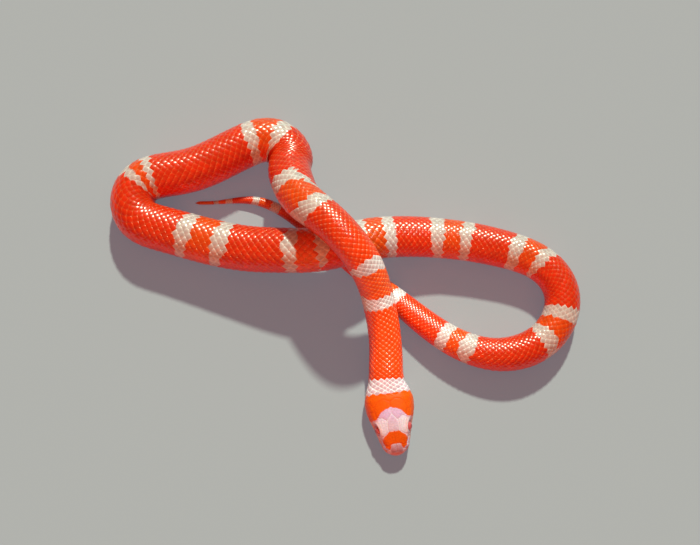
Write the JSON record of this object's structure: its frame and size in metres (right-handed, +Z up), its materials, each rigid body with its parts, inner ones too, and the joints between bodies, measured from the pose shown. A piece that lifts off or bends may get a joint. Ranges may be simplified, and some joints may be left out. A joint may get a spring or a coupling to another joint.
{
  "type": "albino milk snake model",
  "caption": "Life-size young albino milk snake lying in a loose knot, with a ringed body, blunt head and tapering tail.",
  "frame": {"origin": "centre of the animal's bounding box in plan, on the floor under its belly", "axes": "+X along the long way of the coils, towards the right-hand bend; -Y the way the head points; +Z up"},
  "size_m": [0.1301, 0.0938, 0.0264],
  "materials": {
    "red_orange_skin": "small glossy scales, red-orange, ringed with white and narrow orange",
    "ivory_skin": "glossy plates and scales, white with a lavender-pink bloom",
    "albino_eye": "wet and clear, crimson with a darker red pupil"
  },
  "bodies": {
    "root": {"head": "ivory_skin", "lower_jaw": "ivory_skin", "eye_left": "albino_eye", "eye_right": "albino_eye", "neck": "red_orange_skin", "body_1": "red_orange_skin", "body_2": "red_orange_skin", "body_3": "red_orange_skin", "body_4": "red_orange_skin", "body_5": "red_orange_skin", "body_6": "red_orange_skin", "body_7": "red_orange_skin", "body_8": "red_orange_skin", "body_9": "red_orange_skin", "tail": "red_orange_skin"}
  },
  "joints": []
}
